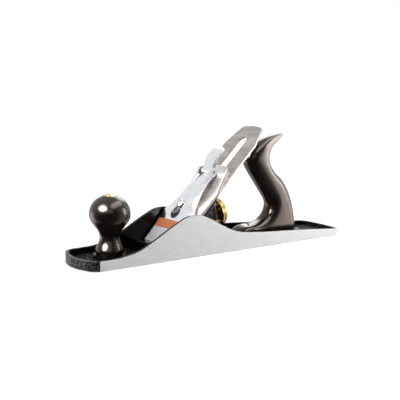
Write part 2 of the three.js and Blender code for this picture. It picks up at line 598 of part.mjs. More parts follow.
const springRivetProfile = [[0, 9.8], [2.8, 9.8], [2.8, 10.6], [1.5, 10.6], [1.5, 14.2], [0, 14.2]];
const leverScrewProfile = [[0, -9.4], [3.4, -9.4], [3.4, 16.3], [4.9, 16.3], [4.9, 18], [3.6, 19], [0, 19]];
const leverScrew = cut(solid(turned(leverScrewProfile, 28)), solid(box(-8, 8, -0.7, 0.7, 17.8, 21)));
addPiece(bed, 'lever_cap', 'bright', leverCap());
addPiece(bed, 'cam_lever', 'bright', camLever());
addPiece(bed, 'cam_pin', 'steel', solid(barY(CAM_PIN_S, CAM_PIN_T, 1.5, -11.6, 11.6, 12)));
addPiece(bed, 'lever_cap_spring', 'steel', capSpring());
addPiece(bed, 'lever_cap_spring_rivet', 'steel', turnedAt(springRivetProfile, 16, 84));
addPiece(bed, 'lever_cap_screw', 'steel', leverScrew.translate([LEVER_SCREW_S, 0, 0]));

export default plane;
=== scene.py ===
"""Iron bench plane: the visible pieces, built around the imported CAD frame."""
import json
import math

import bmesh
import bpy
from mathutils import Matrix, Vector


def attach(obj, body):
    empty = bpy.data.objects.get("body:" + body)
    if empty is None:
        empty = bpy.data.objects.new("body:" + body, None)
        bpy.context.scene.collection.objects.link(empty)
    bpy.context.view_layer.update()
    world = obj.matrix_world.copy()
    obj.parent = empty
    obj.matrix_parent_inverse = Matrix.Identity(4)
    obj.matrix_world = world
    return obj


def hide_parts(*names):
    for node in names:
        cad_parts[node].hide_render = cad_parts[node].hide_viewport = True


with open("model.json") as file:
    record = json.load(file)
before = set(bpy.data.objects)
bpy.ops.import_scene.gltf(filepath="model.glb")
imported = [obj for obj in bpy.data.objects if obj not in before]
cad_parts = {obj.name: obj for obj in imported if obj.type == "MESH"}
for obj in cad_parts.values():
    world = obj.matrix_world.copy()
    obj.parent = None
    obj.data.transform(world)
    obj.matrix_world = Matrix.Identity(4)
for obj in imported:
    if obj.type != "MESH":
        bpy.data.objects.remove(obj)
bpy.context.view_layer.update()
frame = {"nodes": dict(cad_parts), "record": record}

NODES = frame["nodes"]
MM = 0.001
SHARP_ANGLE = math.radians(31)

# ---- sizes in millimetres, the same as the CAD's ---------------------------
LENGTH = 355.6
WIDTH = 63.5
SOLE = 3.8
CHEEK = 3.3
CHEEK_TOE = -163.2
CHEEK_HEEL = 170.7
GAP = 0.3
BED_X = -77
MOUTH_FRONT = -83.6
MOUTH_HALF = 27.2
SEAT_TOP = 8.1
FROG_HALF = 22
FROG_SCREW_X = -47
FROG_SCREW_Y = 13.5
ADJUST_Z = 11.6
KNOB_X = -134.4
TOTE_ROD_X = 102
TOTE_ROD_LEAN = 25.7
TOTE_NUT_TOP = 115.5
TOTE_HALF = 12.5
TOE_SCREW_X = 46
WHEEL_X = 6.8
WHEEL_Z = 41.2
WHEEL_TILT = 15
WHEEL_RADIUS = 15.9
WHEEL_RIM = 6.5
IRON_HALF = 25.4
CAP_IRON_END = 124.6
KEYHOLE_S = 47.5
LEVER_SCREW_S = 58.5
CAP_SCREW_S = 113
CAM_PIN_S = 107.3
CAM_PIN_T = 14.8

# The bed frame: X up the bed, Z out of it. The rod and stud frames have Z along their rods.
BED = Matrix.Translation((BED_X, 0, 0)) @ Matrix.Rotation(math.radians(-45), 4, "Y")
ROD = (Matrix.Translation((TOTE_ROD_X, 0, SEAT_TOP + GAP))
       @ Matrix.Rotation(math.radians(-TOTE_ROD_LEAN), 4, "Y"))
STUD = (Matrix.Translation((WHEEL_X, 0, WHEEL_Z))
        @ Matrix.Rotation(math.radians(90 - WHEEL_TILT), 4, "Y"))


# ---- mesh helpers ------------------------------------------------------------
def smooth(points, steps):
    """A smooth open line through a few points."""
    last = len(points) - 1
    line = []
    for step in range(steps + 1):
        place = last * step / steps
        i = min(int(place), last - 1)
        w = place - i
        before, start = points[max(i - 1, 0)], points[i]
        end, after = points[i + 1], points[min(i + 2, last)]
        line.append(tuple(
            (2 * b - 2 * c + (c - a) / 2 + (d - b) / 2) * w ** 3
            + (3 * c - 3 * b - (c - a) - (d - b) / 2) * w ** 2 + (c - a) / 2 * w + b
            for a, b, c, d in zip(before, start, end, after)))
    return line


def value_at(line, x):
    """The height of a line at x, where the line's first values rise or fall all along."""
    line = sorted(line)
    if x <= line[0][0]:
        return line[0][1]
    for (x0, y0), (x1, y1) in zip(line, line[1:]):
        if x <= x1:
            return y0 + (y1 - y0) * (x - x0) / max(x1 - x0, 1e-9)
    return line[-1][1]


def lofted(rings, closed=False):
    """A closed mesh through rings of equal counts, with flat ends unless the rings close."""
    bm = bmesh.new()
    rows = [[bm.verts.new(p) for p in ring] for ring in rings]
    count = len(rings[0])
    pairs = list(zip(rows, rows[1:]))
    if closed:
        pairs.append((rows[-1], rows[0]))
    for lower, upper in pairs:
        for i in range(count):
            j = (i + 1) % count
            bm.faces.new((lower[i], lower[j], upper[j], upper[i]))
    if not closed:
        bm.faces.new(rows[0][::-1])
        bm.faces.new(rows[-1])
    bmesh.ops.remove_doubles(bm, verts=bm.verts, dist=1e-4)
    bmesh.ops.recalc_face_normals(bm, faces=bm.faces)
    return bm


def prism_y(points, y0, y1):
    return lofted([[(x, y, z) for x, z in points] for y in (y0, y1)])


def prism_z(points, z0, z1):
    return lofted([[(x, y, z) for x, y in points] for z in (z0, z1)])


def box(x0, x1, y0, y1, z0, z1):
    return prism_z([(x0, y0), (x1, y0), (x1, y1), (x0, y1)], z0, z1)


def circle(x, y, radius, sides):
    turn = 2 * math.pi / sides
    return [(x + radius * math.cos(turn * i), y + radius * math.sin(turn * i)) for i in range(sides)]


def post(x, y, radius, z0, z1, sides=48):
    return prism_z(circle(x, y, radius, sides), z0, z1)


def bar_y(x, z, radius, y0, y1, sides=40):
    return prism_y(circle(x, z, radius, sides), y0, y1)


def turned(profile, sides, ripple=None):
    """A solid of revolution about Z from (radius, height) pairs that close on themselves."""
    rings = []
    for i in range(sides):
        angle = 2 * math.pi * i / sides
        ring = []
        for r, z in profile:
            radius = r + (ripple(i, r, z) if ripple else 0)
            ring.append((radius * math.cos(angle), radius * math.sin(angle), z))
        rings.append(ring)
    return lofted(rings, closed=True)


def slot_outline(x0, x1, half, steps=16):
    """A slot with round ends, from (x0, 0) to (x1, 0)."""
    points = []
    for x, start in ((x1, -90), (x0, 90)):
        for i in range(steps + 1):
            angle = math.radians(start + 180 * i / steps)
            points.append((x + half * math.cos(angle), half * math.sin(angle)))
    return points


def mirrored(half):
    """Half an outline in X and positive Y, mirrored into a closed one."""
    points = []
    for point in half + [(x, -y) for x, y in reversed(half)]:
        if not points or math.dist(point, points[-1]) > 1e-6:
            points.append(point)
    if math.dist(points[0], points[-1]) < 1e-6:
        points.pop()
    return points


def moved(bm, matrix):
    bm.transform(matrix)
    return bm


def scratch(bm):
    """A plain object for a boolean step, still in millimetres."""
    mesh = bpy.data.meshes.new("scratch")
    bm.to_mesh(mesh)
    bm.free()
    obj = bpy.data.objects.new("scratch", mesh)
    bpy.context.scene.collection.objects.link(obj)
    return obj


def combined(base, *steps):
    """base after boolean steps, each an (operation, bmesh) pair, as one bmesh."""
    obj = scratch(base)
    tools = []
    for operation, tool in steps:
        tools.append(scratch(tool))
        modifier = obj.modifiers.new("step", "BOOLEAN")
        modifier.operation = operation
        modifier.solver = "EXACT"
        modifier.object = tools[-1]
    depsgraph = bpy.context.evaluated_depsgraph_get()
    result = bmesh.new()
    result.from_object(obj, depsgraph)
    for used in [obj] + tools:
        mesh = used.data
        bpy.data.objects.remove(used)
        bpy.data.meshes.remove(mesh)
    return result


def minus(base, *tools):
    return combined(base, *[("DIFFERENCE", tool) for tool in tools])


def plus(base, *tools):
    return combined(base, *[("UNION", tool) for tool in tools])


def common(base, tool):
    return combined(base, ("INTERSECT", tool))


def tidied(bm):
    """Merges loose corners and joins coplanar faces."""
    bmesh.ops.remove_doubles(bm, verts=bm.verts, dist=2e-3)
    bmesh.ops.dissolve_limit(bm, angle_limit=math.radians(0.6), verts=bm.verts, edges=bm.edges)
    return bm


def piece(bm, name, body, materials, stands_for, bevel=0.0, segments=2, faces=None):
    """A shown piece in metres, riding on a body and standing for CAD nodes."""
    bm.transform(Matrix.Scale(MM, 4))
    bmesh.ops.recalc_face_normals(bm, faces=bm.faces)
    if faces:
        for face in bm.faces:
            face.material_index = faces(face.calc_center_median() / MM, face.normal)
    mesh = bpy.data.meshes.new(name)
    bm.to_mesh(mesh)
    bm.free()
    mesh.shade_smooth()
    mesh.set_sharp_from_angle(angle=SHARP_ANGLE)
    obj = bpy.data.objects.new(name, mesh)
    bpy.context.scene.collection.objects.link(obj)
    for material in materials:
        mesh.materials.append(material)
    if bevel:
        rounding = obj.modifiers.new("rounding", "BEVEL")
        rounding.width = bevel * MM
        rounding.segments = segments
        rounding.limit_method = "ANGLE"
        rounding.angle_limit = SHARP_ANGLE
        rounding.use_clamp_overlap = True
        rounding.harden_normals = True
    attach(obj, body)
    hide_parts(*stands_for)
    return obj


# ---- materials ---------------------------------------------------------------
def noise(nodes, links, coords, size_mm, stretch=(1, 1, 1), detail=4.0):
    """Noise with features of about size_mm, drawn out along an axis by stretch."""
    mapping = nodes.new("ShaderNodeMapping")
    mapping.inputs["Scale"].default_value = [1 / s for s in stretch]
    links.new(coords.outputs["Object"], mapping.inputs["Vector"])
    texture = nodes.new("ShaderNodeTexNoise")
    texture.inputs["Scale"].default_value = 1 / (size_mm * MM)
    texture.inputs["Detail"].default_value = detail
    links.new(mapping.outputs["Vector"], texture.inputs["Vector"])
    return texture


def surface(name, dark, light, rough, metallic=0.0, mottle=(12, (1, 1, 1)), grain=None,
            ior=1.5, tint=(1, 1, 1), spread=(0.35, 0.65)):
    """A finish that drifts between two near colours and two roughnesses.

    mottle is the drift's size in mm and its stretch; grain is (size, stretch, depth) in mm of a bump."""
    material = bpy.data.materials.new(name)
    material.use_nodes = True
    nodes, links = material.node_tree.nodes, material.node_tree.links
    shader = nodes["Principled BSDF"]
    shader.inputs["Metallic"].default_value = metallic
    shader.inputs["IOR"].default_value = ior
    shader.inputs["Specular Tint"].default_value = (*tint, 1)
    coords = nodes.new("ShaderNodeTexCoord")
    drift = noise(nodes, links, coords, mottle[0], mottle[1])
    ramp = nodes.new("ShaderNodeValToRGB")
    ramp.color_ramp.elements[0].position, ramp.color_ramp.elements[1].position = spread
    ramp.color_ramp.elements[0].color = (*dark, 1)
    ramp.color_ramp.elements[1].color = (*light, 1)
    links.new(drift.outputs["Fac"], ramp.inputs["Fac"])
    links.new(ramp.outputs["Color"], shader.inputs["Base Color"])
    gloss = nodes.new("ShaderNodeMapRange")
    gloss.inputs["From Min"].default_value, gloss.inputs["From Max"].default_value = spread
    gloss.inputs["To Min"].default_value, gloss.inputs["To Max"].default_value = rough
    links.new(drift.outputs["Fac"], gloss.inputs["Value"])
    links.new(gloss.outputs["Result"], shader.inputs["Roughness"])
    if grain:
        size, stretch, depth = grain
        texture = noise(nodes, links, coords, size, stretch, detail=3.0)
        bump = nodes.new("ShaderNodeBump")
        bump.inputs["Strength"].default_value = 1.0
        bump.inputs["Distance"].default_value = depth * MM
        links.new(texture.outputs["Fac"], bump.inputs["Height"])
        links.new(bump.outputs["Normal"], shader.inputs["Normal"])
    return material


ENAMEL = surface("black_enamel", (0.002, 0.002, 0.002), (0.005, 0.0045, 0.0045), (0.18, 0.3),
                 grain=(3.0, (1, 1, 1), 0.25), ior=1.24)
# Black pebbled enamel whose sparse lighter, warm specks are painted glints on the pebbles.
PEBBLED_PAINTED_GLINTS = surface("pebbled_enamel_painted_glints", (0.002, 0.002, 0.002), (0.13, 0.115, 0.10), (0.12, 0.26),
                     mottle=(2.4, (1, 1, 1)), grain=(4.2, (1, 1, 1), 6.0), ior=1.22,
                     spread=(0.56, 0.68))
GROUND = surface("ground_iron", (0.62, 0.63, 0.62), (0.70, 0.70, 0.69), (0.42, 0.52), 1.0,
                 mottle=(1.1, (14, 1, 1)), grain=(0.5, (30, 1, 1), 0.012))
PLASTIC = surface("dark_plastic", (0.004, 0.003, 0.0025), (0.007, 0.0045, 0.0035), (0.16, 0.22),
                  mottle=(18, (1, 1, 1)), ior=1.52, tint=(1, 0.84, 0.76))
NICKEL = surface("polished_nickel", (0.69, 0.70, 0.73), (0.76, 0.77, 0.80), (0.13, 0.2), 1.0,
                 mottle=(9, (1, 1, 1)), grain=(4.0, (1, 1, 1), 0.02))
# The lip's nickel as a white, non-metal copy: its brightness is a painted highlight standing in for the
# plated lip's reflection.
LIP_PAINTED_HIGHLIGHT = surface("nickel_lip_painted_highlight", (0.90, 0.90, 0.92), (0.96, 0.96, 0.98), (0.5, 0.58), 0.0,
                       mottle=(6, (1, 1, 1)))
RED_BAND = surface("orange_red_paint", (0.90, 0.24, 0.08), (0.96, 0.34, 0.14), (0.45, 0.55),
                   mottle=(1.4, (1, 1, 1)), grain=(0.8, (1, 1, 1), 0.15), ior=1.3)
TOOL_STEEL = surface("ground_tool_steel", (0.29, 0.27, 0.255), (0.35, 0.33, 0.31), (0.3, 0.42), 1.0,
                     mottle=(6, (1, 3, 1)), grain=(0.6, (1, 24, 1), 0.012))
CAP_STEEL = surface("cap_iron_steel", (0.64, 0.605, 0.575), (0.72, 0.68, 0.65), (0.3, 0.38), 1.0,
                    mottle=(3.0, (1, 6, 1)), grain=(0.7, (1, 20, 1), 0.012))
STEEL = surface("machined_steel", (0.50, 0.50, 0.50), (0.62, 0.62, 0.61), (0.25, 0.36), 1.0,
                mottle=(4, (1, 1, 1)), grain=(0.6, (1, 1, 1), 0.01))
BRASS = surface("polished_brass", (0.66, 0.46, 0.19), (0.78, 0.57, 0.28), (0.18, 0.28), 1.0,
                mottle=(5, (1, 1, 1)), grain=(2.0, (1, 1, 1), 0.02))


# ---- body casting ------------------------------------------------------------
TOE_ARC = [(-163.2, 30.9), (-168.4, 28.4), (-172.6, 22.2), (-176.2, 11.5), (-177.8, 0)]
HEEL_ARC = [(170.7, 30.9), (174.2, 28.6), (175.9, 22.5), (177.2, 11), (177.8, 0)]
CHEEK_TOP = smooth([
    (-141, 10.6), (-129, 12.2), (-116, 15.8), (-100, 23.7), (-84, 32.6), (-70, 39.7), (-60, 43.8),
    (-50, 45), (-40, 43.5), (-27, 38.1), (-12, 30.2), (2, 24), (16, 20.1), (34, 18.1), (74, 15.5),
    (124, 12.1)], 90)


def plan_outline(inset):
    side = WIDTH / 2 - inset
    toe = [(-150 + (x + 150) * (1 - inset / 27), y * (1 - inset / 31)) for x, y in smooth(TOE_ARC, 28)]
    heel = [(155 + (x - 155) * (1 - inset / 22), y * (1 - inset / 31)) for x, y in smooth(HEEL_ARC, 24)]
    return mirrored(toe[::-1] + [(CHEEK_TOE, side), (CHEEK_HEEL, side)] + heel)


def seat_front(z):
    return BED_X + z + 0.7


def body_casting():
    end = LENGTH / 2
    side = ([(-end, 0), (end, 0), (end, 8.3), (171, 8.3)] + CHEEK_TOP[::-1]
            + [(CHEEK_TOE, 10.2), (-end, 9.8)])
    shell = common(prism_z(plan_outline(0), 0, 60), prism_y(side, -WIDTH, WIDTH))
    shell = minus(shell, prism_z(plan_outline(CHEEK), SOLE, 70))
    inner = WIDTH / 2 - CHEEK + 0.5
    seat = [(seat_front(2), 2), (-13, 2), (-13, SEAT_TOP), (seat_front(SEAT_TOP), SEAT_TOP)]
    shell = plus(
        shell,
        post(KNOB_X, 0, 16.5, SOLE - 1, SEAT_TOP, 72),
        box(-96, -92, -inner, inner, SOLE - 1, 15.5),
        prism_y(seat, -FROG_HALF - 1, FROG_HALF + 1),
        box(-88.5, MOUTH_FRONT, -inner, inner, SOLE - 1, 5.6),
        box(-31, -20, -5, 5, SOLE - 0.5, 15.4),
        prism_z(slot_outline(42, 118, 14.2, 24), SOLE - 1, SEAT_TOP))
    mouth = [(MOUTH_FRONT, -1), (seat_front(-1), -1), (seat_front(9), 9), (MOUTH_FRONT, 9)]
    hole = Matrix.Rotation(math.radians(90), 4, "Y")
    return minus(
        shell,
        prism_y(mouth, -MOUTH_HALF, MOUTH_HALF),
        post(KNOB_X, 0, 3.2, 3.9, 20, 24),
        post(FROG_SCREW_X, -FROG_SCREW_Y, 3.4, 3.9, 20, 24),
        post(FROG_SCREW_X, FROG_SCREW_Y, 3.4, 3.9, 20, 24),
        moved(post(0, 0, 2.9, -40, -10, 24), Matrix.Translation((0, 0, ADJUST_Z)) @ hole),
        moved(post(0, 0, 3.2, -4.4, 10, 24), ROD),
        post(TOE_SCREW_X, 0, 3.2, 3.9, 20, 24))


def body_faces(centre, normal):
    """0 smooth enamel, 1 pebbled casting with painted glints, 2 ground iron."""
    if normal.z < -0.9 and centre.z < 0.1:
        return 2
    if abs(normal.y) > 0.99 and abs(centre.y) > WIDTH / 2 - 0.1:
        return 2
    floor = normal.z > 0.9 and centre.z < 6
    ends = centre.x < CHEEK_TOE or centre.x > CHEEK_HEEL
    return 1 if floor or ends else 0


piece(tidied(body_casting()), "body_casting", "body", [ENAMEL, PEBBLED_PAINTED_GLINTS, GROUND],
      ["plane_body"], bevel=0.45, faces=body_faces)


# ---- front knob --------------------------------------------------------------
def knob():
    skin = smooth([
        (14.5, 2.2), (14.1, 5), (12.8, 8.4), (11.1, 12.4), (10.2, 17.5), (12, 23.5), (16.4, 29.5),
        (20, 35.5), (20.9, 41.5), (19.4, 48.5), (15.2, 54.6), (9, 58.6), (6.4, 59.4)], 60)
    seat = [(6.2, 59.2), (6.2, 56.2), (5, 56.2), (5, 46), (3.3, 46)]
    profile = [(3.3, 0), (14.0, 0), (14.3, 0.4), *skin, *seat]
    return moved(turned(profile, 96), Matrix.Translation((KNOB_X, 0, SEAT_TOP + GAP)))


def slotted(bm, x0, x1, half, bottom, top):
    return minus(bm, box(x0, x1, -half, half, bottom, top))


def barrel_nut():
    """A slotted brass nut about Z; its head ends at height 0."""
    dome = [(5.9, -3.4), (5.9, -1.3), (5.6, -0.85), (4.8, -0.45), (3.4, -0.15), (1.6, 0), (0.01, 0)]
    profile = [(0.01, -6.4), (3.1, -6.4), (3.1, -13), (4.6, -13), (4.6, -3.4), *dome]
    return slotted(turned(profile, 64), -9, 9, 0.6, -1.3, 1)


piece(knob(), "front_knob", "body", [PLASTIC], ["knob"])
piece(moved(barrel_nut(), Matrix.Translation((KNOB_X, 0, 69.3))), "knob_brass_nut", "body", [BRASS],
      ["knob_nut"], bevel=0.15)
piece(moved(barrel_nut(), ROD @ Matrix.Translation((0, 0, TOTE_NUT_TOP))), "tote_brass_nut",
      "body", [BRASS], ["tote_nut"], bevel=0.15)


# ---- tote --------------------------------------------------------------------
HORN_TIP = (98.8, 125)
HORN_REACH = 70
HORN_TAPER = 46
HORN_THIN = 0.34
TOE_TIP = (31, 12)
TOE_REACH = 60
TOTE_REAR = smooth([
    (124, 8.4), (123.2, 17), (119, 34.5), (111.3, 54), (99, 70.4), (86, 81), (77.5, 91),
    (75.8, 100), (80, 109), (88.5, 115.2), (95.5, 120.2), (98.8, 124.2)], 60)
TOTE_TOP = smooth([
    (97, 126), (88, 125), (78, 123.3), (67.5, 120), (56.5, 114.4), (47.5, 107.2), (43.3, 99),
    (44.3, 91), (51, 80.4), (60.5, 68.5), (72.3, 54), (78.8, 45), (79.6, 38.5), (77, 32),
    (70.5, 25.6), (61, 22), (50, 20.6), (41.5, 19.6), (35, 16.2), (31.4, 10)], 90)


def rounded_slab(points, half, round_by, inset, steps):
    """A slab with its outline in X and Z and rounded rims, less rounded near the horn's tip and the toe."""
    normals = []
    for i, point in enumerate(points):
        before, after = points[i - 1], points[(i + 1) % len(points)]
        length = math.dist(before, after)
        horn = max(0.05, math.dist(point, HORN_TIP) / HORN_REACH)
        toe = max(0.35, math.dist(point, TOE_TIP) / TOE_REACH)
        reach = min(1, horn, toe) / length
        normals.append((-(after[1] - before[1]) * reach, (after[0] - before[0]) * reach))
    rims = []
    for step in range(steps + 1):
        angle = math.pi / 2 * step / steps
        rims.append((half - round_by * (1 - math.cos(angle)), inset * (1 - math.sin(angle))))
    rings = [(-y, move) for y, move in rims] + rims[::-1]
    near = [min(1, math.dist(point, HORN_TIP) / HORN_TAPER) for point in points]
    thin = [HORN_THIN + (1 - HORN_THIN) * w * w * (3 - 2 * w) for w in near]
    return lofted([[(x + nx * move, y * share, z + nz * move)
                    for (x, z), (nx, nz), share in zip(points, normals, thin)]
                   for y, move in rings])


def tote():
    base = SEAT_TOP + GAP
    outer = [(124.1, base - 20)] + TOTE_REAR + TOTE_TOP + [(30.6, 1), (30.4, base - 20)]
    slab = rounded_slab(outer, TOTE_HALF, 11.5, 14, 10)
    plan = prism_z(slot_outline(43, 140, TOTE_HALF + 0.1, 32), base, 140)
    grip = common(slab, plan)
    return minus(
        grip,
        moved(post(0, 0, 3.3, -10, TOTE_NUT_TOP - 15, 24), ROD),
        moved(post(0, 0, 5, TOTE_NUT_TOP - 17, 140, 32), ROD),
        moved(post(0, 0, 6.5, TOTE_NUT_TOP - 3.8, 140, 48), ROD),
        post(TOE_SCREW_X, 0, 3.3, 0, 40, 24),
        post(TOE_SCREW_X, 0, 5.6, 17.2, 40, 40))


TOTE = piece(tote(), "rear_tote", "body", [PLASTIC], ["tote"])


# ---- iron and cap iron -------------------------------------------------------
IRON_PLAN = mirrored([(-3, IRON_HALF), (160, IRON_HALF)] + smooth(
    [(160, IRON_HALF), (171.5, 21.6), (182, 17.5), (186, 15), (187.4, 9), (188, 0)], 24)[1:])
IRON_LOW = 0.3
IRON_HIGH = 2.5
IRON_EDGE = -2.15


def plane_iron():
    side = [(IRON_EDGE + 4.7, IRON_LOW), (200, IRON_LOW), (200, IRON_HIGH), (IRON_EDGE, IRON_HIGH)]
    blank = common(prism_z(IRON_PLAN, IRON_LOW - 1, IRON_HIGH + 1), prism_y(side, -30, 30))
    slot = prism_z(slot_outline(50, 164.5, 6.2), -3, 6)
    return moved(minus(blank, slot, post(50, 0, 9.5, -3, 6)), BED)


def cap_iron():
    top = smooth([(-1.2, 3), (1, 4.2), (4, 5.3), (8, 5.9), (12, 5.8), (16, 5.2), (20, 4.87), (24, 4.8)], 28)
    under = smooth([(22, 2.8), (18, 3), (13, 3.7), (8, 3.9), (4, 3.6), (1.2, 3.05), (-0.6, 2.8)], 24)
    side = top + [(CAP_IRON_END, 4.8), (CAP_IRON_END, 2.8)] + under
    half = IRON_HALF - 0.2
    plan = mirrored([(-3, half), (88, half), (120.5, 14.5)] + smooth(
        [(120.5, 14.5), (122.6, 13), (124, 11), (CAP_IRON_END, 8.5)], 8)[1:] + [(CAP_IRON_END, 0)])
    plate = common(prism_y(side, -half, half), prism_z(plan, 0, 9))
    return moved(minus(
        plate,
        prism_z(slot_outline(56, 62, 4.9), 0, 9),
        box(70.2, 76.3, -3.7, 3.7, 0, 9),
        post(CAP_SCREW_S, 0, 3.3, 0, 9, 32)), BED)


piece(tidied(plane_iron()), "cutting_iron", "blade", [TOOL_STEEL], ["plane_iron"],
      bevel=0.18)
piece(tidied(cap_iron()), "chip_breaker", "blade", [CAP_STEEL], ["cap_iron"], bevel=0.22)


# ---- lever cap ---------------------------------------------------------------
LEVER_TOP = smooth([
    (9, 8), (14, 8.4), (20, 9), (28, 10.1), (40, 12.6), (52, 14.8), (64, 16.1), (78, 16.2),
    (92, 15.6), (102, 15.2), (108, 15.2)], 60)
LEVER_UNDER = smooth([
    (9, 6.3), (16, 6.3), (24, 5.6), (40, 6), (52, 6.4), (63, 7.2), (71, 8.7), (82, 11.2),
    (93, 12.2), (102, 12), (108, 12)], 60)
LEVER_HALF = [(9, 25.2)] + smooth([
    (46, 25.2), (50, 24.5), (54, 22.5), (58, 18.8), (62, 16.2), (67, 14.7), (76, 13.8),
    (90, 12.9), (101.5, 11.9), (107.3, 11.8)], 60)
CROWN = [(9, 0.15), (14, 0.5), (28, 1.6), (42, 2.7), (60, 2.3), (80, 1.8), (108, 1.4)]
BAND = (28, 38.5)
EAR_INNER = 8.2
EAR_OUTER = 11.8


def lever_sections(half, roof_drop, start, end, floor=None):
    """Rings across the cap from start to end, each crowned in the middle of its top."""
    stations = sorted({start, end, *BAND, *[s / 2 for s in range(2 * int(start) + 2, 2 * int(end), 3)]})
    across = 24
    rings = []
    for s in [s for s in stations if start <= s <= end]:
        top = value_at(LEVER_TOP, s) - roof_drop
        drop = value_at(CROWN, s)
        width = value_at(half, s)
        low = value_at(LEVER_UNDER, s) if floor is None else floor
        ring = [(s, width, low), (s, -width, low)]
        for i in range(across + 1):
            y = -width * math.cos(math.pi * i / across)
            ring.append((s, y, max(low + 0.2, top - drop * abs(y / width) ** 2.4)))
        rings.append(ring)
    return lofted(rings)


def lever_cap():
    inside = [(21, 21.6), (44, 21.6), (50, 20.5), (56, 16.6), (62, 13), (68, 11.2), (98, 10.4)]
    ramp = smooth([(90, 15.6), (98, 16.6), (103.5, 18.6), (106.5, 19.5)], 16)
    ramp = [(90, 14)] + ramp + [(CAM_PIN_S, 19.6), (CAM_PIN_S, 14)]
    ears = []
    for y0, y1 in ((-EAR_OUTER, -EAR_INNER), (EAR_INNER, EAR_OUTER)):
        ears += [bar_y(CAM_PIN_S, CAM_PIN_T, 4.8, y0, y1), prism_y(ramp, y0, y1)]
    shell = minus(lever_sections(LEVER_HALF, 0, 9, CAM_PIN_S), lever_sections(inside, 3.2, 21, 98, 0))
    shell = plus(shell, *ears)
    return minus(
        shell,
        post(KEYHOLE_S, 0, 6.9, 0, 30),
        prism_z(slot_outline(KEYHOLE_S, LEVER_SCREW_S, 4.6), 0, 30),
        box(101.4, 120, -EAR_INNER, EAR_INNER, 0, 30),
        post(84, 0, 1.9, 9, 14, 24),
        bar_y(CAM_PIN_S, CAM_PIN_T, 1.85, -20, 20, 24))


BED_BACK = BED.inverted()


def cap_faces(centre, normal):
    """0 nickel, 1 the painted band across the top, 2 the lip below it, a lighter copy of the nickel whose
    whiteness is a painted highlight.
    """
    at = BED_BACK @ centre
    facing = BED_BACK.to_3x3() @ normal
    if facing.z < 0.5 or at.z < 7.5:
        return 0
    return 2 if at.x < BAND[0] else 1 if at.x < BAND[1] else 0


piece(moved(lever_cap(), BED), "lever_cap_plated", "lever_cap", [NICKEL, RED_BAND, LIP_PAINTED_HIGHLIGHT],
      ["lever_cap"], bevel=0.3, faces=cap_faces)


def cam_lever():
    lobe = []
    for step in range(21):
        angle = math.pi * (0.62 + 0.78 * step / 20)
        lobe.append((CAM_PIN_S + 3.7 * math.cos(angle), CAM_PIN_T + 3.7 * math.sin(angle)))
    foot = smooth([(104.9, 8.6), (106.3, 7.2), (109.6, 7.2), (111.8, 9.6)], 12)
    under = smooth([
        (112.6, 12.6), (116, 15.6), (121, 18.6), (126, 19.4), (131, 19.2), (134.5, 19.6),
        (136.6, 20.8)], 30)
    top = smooth([
        (135.6, 22.7), (134, 21.2), (131, 21.3), (126, 21.9), (120.7, 21.6), (115.5, 19.2),
        (112, 17.4), (109.5, 17.6)], 42)
    plan = mirrored([(100, 0), (100, 7.3), (112, 7.3)] + smooth(
        [(113, 7.8), (118, 8.8), (126, 9), (132, 9), (135.6, 8.6), (136.8, 7.2), (137, 5),
         (137, 0)], 28))
    arm = common(prism_y(lobe + foot + under + top, -9.2, 9.2), prism_z(plan, 0, 30))
    return moved(minus(arm, bar_y(CAM_PIN_S, CAM_PIN_T, 1.85, -20, 20, 24)), BED)


piece(cam_lever(), "cam_lever_plated", "cam_lever", [NICKEL], ["cam_lever"], bevel=0.35)


# ---- depth wheel -------------------------------------------------------------
def depth_wheel():
    r = WHEEL_RADIUS
    w = WHEEL_RIM
    rim = [(r - 0.8, -w), (r - 0.1, -w + 0.7), (r - 0.1, -w + 2.5), (r - 0.9, -w + 2.9),
           (r - 0.9, -2.9), (r - 0.1, -2.5), (r - 0.1, -0.7), (r - 0.8, 0)]
    profile = [
        (3.35, -14.6), (5.8, -14.6), (6.1, -14.3), (6.1, -12.6), (4.3, -12.6), (4.3, -7.4), (6.1, -7.4),
        (6.1, -3.6), (6.6, -3.2), (12, -3.2), (12.4, -3.6), (13, -w), *rim,
        (12.6, 0), (12.2, -0.3), (11.8, -0.9), (5, -0.9), (4.4, 0), (3.35, 0)]

    def knurl(i, radius, height):
        return (0.18 if i % 2 else -0.18) if abs(radius - (r - 0.1)) < 0.05 else 0
    return moved(turned(profile, 176, knurl), STUD)


piece(depth_wheel(), "brass_depth_wheel", "depth_wheel", [BRASS], ["depth_wheel"])


# ---- pieces refined from their CAD solids -----------------------------------
def refined(node, body, material, bevel):
    """A node's own solid with clean faces and rounded edges."""
    bm = bmesh.new()
    bm.from_mesh(NODES[node].data)
    bm.transform(Matrix.Scale(1 / MM, 4))
    piece(tidied(bm), node + "_finished", body, [material], [node], bevel=bevel)


BODY_OF = {node: body for body, nodes in frame["record"]["behaviour"]["bodies"].items() for node in nodes}
SMALL_STEEL = {
    "knob_stud": 0.2, "tote_stud": 0.2, "tote_toe_screw": 0.25, "frog_screw_left": 0.25,
    "frog_screw_right": 0.25, "frog_washer_left": 0.12, "frog_washer_right": 0.12,
    "frog_adjusting_screw": 0.15, "frog_clip": 0.2, "frog_clip_screw": 0.15, "y_lever": 0.3,
    "y_lever_pin": 0.15, "depth_stud": 0.2, "lateral_lever": 0.2, "lateral_lever_rivet": 0.15,
    "lateral_roller": 0.2, "lateral_roller_rivet": 0.12, "lever_cap_screw": 0.2,
    "cap_iron_screw": 0.2, "cam_pin": 0.2, "lever_cap_spring": 0.12, "lever_cap_spring_rivet": 0.12}
for small, rounding_mm in SMALL_STEEL.items():
    refined(small, BODY_OF[small], STEEL, rounding_mm)
refined("frog", "frog", ENAMEL, 0.5)


